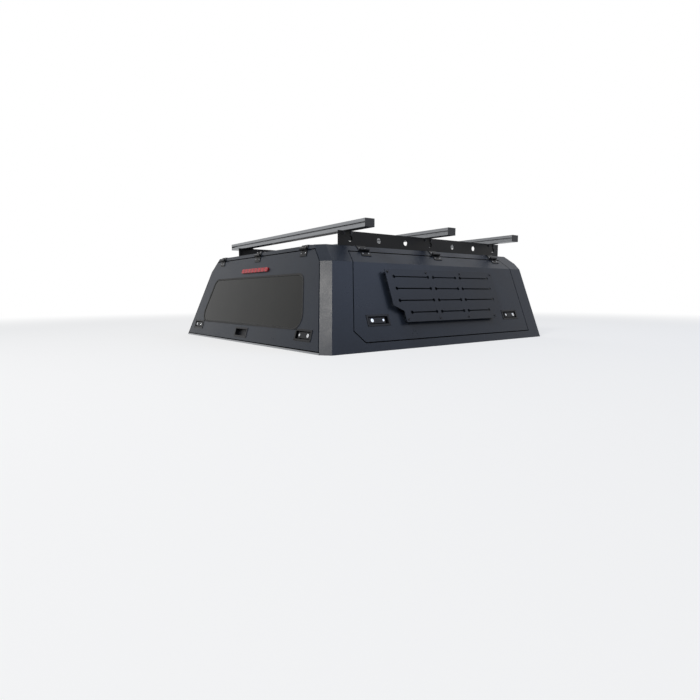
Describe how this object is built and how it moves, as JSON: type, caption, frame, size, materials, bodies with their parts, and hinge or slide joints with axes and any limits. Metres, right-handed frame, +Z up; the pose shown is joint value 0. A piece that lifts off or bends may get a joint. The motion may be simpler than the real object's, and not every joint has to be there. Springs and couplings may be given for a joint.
{
  "type": "pickup canopy",
  "caption": "Raked, folded-sheet canopy for a pickup load bed with lift-up side doors, a glazed lift-up rear door and a perforated roof rack with load bars.",
  "frame": {"origin": "middle of the base, at the height of the load bed rails", "axes": "+X to the right side, +Y forward to the cab, +Z up"},
  "size_m": [1.62, 1.564, 0.593],
  "materials": {
    "charcoal_coat": "satin fine-texture powder coat",
    "black_coat": "satin black powder coat",
    "latch_coat": "semi-gloss black",
    "bar_aluminium": "satin anodised",
    "smoked_glass": "smoked, polished",
    "seal_rubber": "matt",
    "cap_plastic": "matt moulded",
    "red_lens": "gloss"
  },
  "bodies": {
    "canopy": {"base_rail_right": "charcoal_coat", "base_rail_left": "charcoal_coat", "base_rail_front": "charcoal_coat", "rear_sill": "charcoal_coat", "rear_quarter_right": "charcoal_coat", "rear_quarter_left": "charcoal_coat", "front_quarter_right": "charcoal_coat", "front_quarter_left": "charcoal_coat", "side_sill_right": "charcoal_coat", "side_sill_left": "charcoal_coat", "side_header_right": "charcoal_coat", "side_header_left": "charcoal_coat", "rear_header": "charcoal_coat", "front_wall": "charcoal_coat", "front_glass": "smoked_glass", "front_rubber": "seal_rubber", "roof_panel": "charcoal_coat", "roof_bows": "charcoal_coat", "door_frame_right": "charcoal_coat", "door_frame_left": "charcoal_coat", "door_frame_rear": "charcoal_coat", "door_seals": "seal_rubber", "hinge_bases": "black_coat", "rack_plate_right": "black_coat", "rack_plate_left": "black_coat", "load_bar_rear": "bar_aluminium", "load_bar_middle": "bar_aluminium", "load_bar_front": "bar_aluminium", "bar_caps": "cap_plastic", "bar_clamps": "black_coat"},
    "door_right": {"side_door_right": "charcoal_coat", "side_hinges_right": "black_coat", "accessory_plate_right": "black_coat", "latch_pans_right": "latch_coat"},
    "door_left": {"side_door_left": "charcoal_coat", "side_hinges_left": "black_coat", "accessory_plate_left": "black_coat", "latch_pans_left": "latch_coat"},
    "door_rear": {"rear_door": "charcoal_coat", "rear_glass": "smoked_glass", "rear_rubber": "seal_rubber", "rear_hinges": "black_coat", "rear_pans": "latch_coat", "brake_light": "red_lens"},
    "handle_right_rear": {"paddle_right_rear": "latch_coat"},
    "handle_right_front": {"paddle_right_front": "latch_coat"},
    "handle_left_rear": {"paddle_left_rear": "latch_coat"},
    "handle_left_front": {"paddle_left_front": "latch_coat"},
    "handle_rear_left": {"paddle_rear_left": "latch_coat"},
    "handle_rear_right": {"paddle_rear_right": "latch_coat"}
  },
  "joints": [
    {"name": "side_door_right_hinge", "type": "hinge", "parent": "canopy", "child": "door_right", "pos_m": [0.60666, 0.09102, 0.46348], "axis": [0, -1, 0], "range_deg": [0, 80]},
    {"name": "side_door_left_hinge", "type": "hinge", "parent": "canopy", "child": "door_left", "pos_m": [-0.60666, 0.09102, 0.46348], "axis": [0, 1, 0], "range_deg": [0, 80]},
    {"name": "rear_door_hinge", "type": "hinge", "parent": "canopy", "child": "door_rear", "pos_m": [0, -0.65753, 0.4667], "axis": [-1, 0, 0], "range_deg": [0, 85]},
    {"name": "latch_right_rear", "type": "hinge", "parent": "door_right", "child": "handle_right_rear", "pos_m": [0.75266, -0.40938, 0.13223], "axis": [-0.3593, 0, 0.9332], "range_deg": [0, 50]},
    {"name": "latch_right_front", "type": "hinge", "parent": "door_right", "child": "handle_right_front", "pos_m": [0.75266, 0.503, 0.13223], "axis": [0.3593, 0, -0.9332], "range_deg": [0, 50]},
    {"name": "latch_left_rear", "type": "hinge", "parent": "door_left", "child": "handle_left_rear", "pos_m": [-0.75266, -0.40938, 0.13223], "axis": [-0.3593, 0, -0.9332], "range_deg": [0, 50]},
    {"name": "latch_left_front", "type": "hinge", "parent": "door_left", "child": "handle_left_front", "pos_m": [-0.75266, 0.503, 0.13223], "axis": [0.3593, 0, 0.9332], "range_deg": [0, 50]},
    {"name": "latch_rear_left", "type": "hinge", "parent": "door_rear", "child": "handle_rear_left", "pos_m": [-0.57189, -0.75514, 0.07135], "axis": [0, 0.2776, 0.9607], "range_deg": [0, 50]},
    {"name": "latch_rear_right", "type": "hinge", "parent": "door_rear", "child": "handle_rear_right", "pos_m": [0.57189, -0.75514, 0.07135], "axis": [0, -0.2776, -0.9607], "range_deg": [0, 50]}
  ]
}
